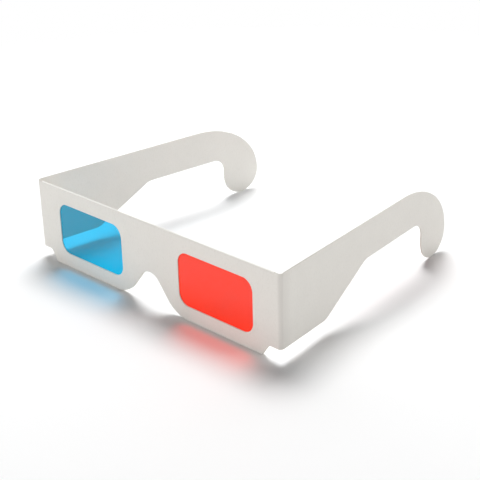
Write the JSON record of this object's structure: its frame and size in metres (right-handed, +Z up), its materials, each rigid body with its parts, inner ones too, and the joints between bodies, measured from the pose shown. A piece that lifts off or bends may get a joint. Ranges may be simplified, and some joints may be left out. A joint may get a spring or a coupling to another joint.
{
  "type": "paper anaglyph glasses",
  "caption": "Folded card viewing glasses with red and cyan film windows, a nose arch and creased fold-in temples that end in ear hooks.",
  "frame": {"origin": "middle of the footprint, on the surface that the glasses stand on", "axes": "+X towards the wearer's left, +Y backwards along the temples, away from the view, +Z up"},
  "size_m": [0.14, 0.12, 0.0355],
  "materials": {
    "card": "matt uncoated white card",
    "creased_card": "matt white card, pressed along the crease",
    "adhesive": "dried dispersion adhesive",
    "red_film": "clear glossy tinted film",
    "cyan_film": "clear glossy tinted film"
  },
  "bodies": {
    "front": {"front_ply": "card", "rear_ply": "card", "top_fold": "creased_card", "ply_adhesive": "adhesive", "red_film": "red_film", "cyan_film": "cyan_film", "left_crease": "creased_card", "right_crease": "creased_card"},
    "left_temple": {"left_temple": "card"},
    "right_temple": {"right_temple": "card"}
  },
  "joints": [
    {"name": "left_temple_fold", "type": "hinge", "parent": "front", "child": "left_temple", "pos_m": [0.0685, -0.05852, 0.02], "axis": [0, 0, 1], "range_deg": [-96.8, 83.2], "deforming": ["left_crease"]},
    {"name": "right_temple_fold", "type": "hinge", "parent": "front", "child": "right_temple", "pos_m": [-0.0685, -0.05852, 0.02], "axis": [0, 0, -1], "range_deg": [-96.8, 80.5], "deforming": ["right_crease"]}
  ]
}
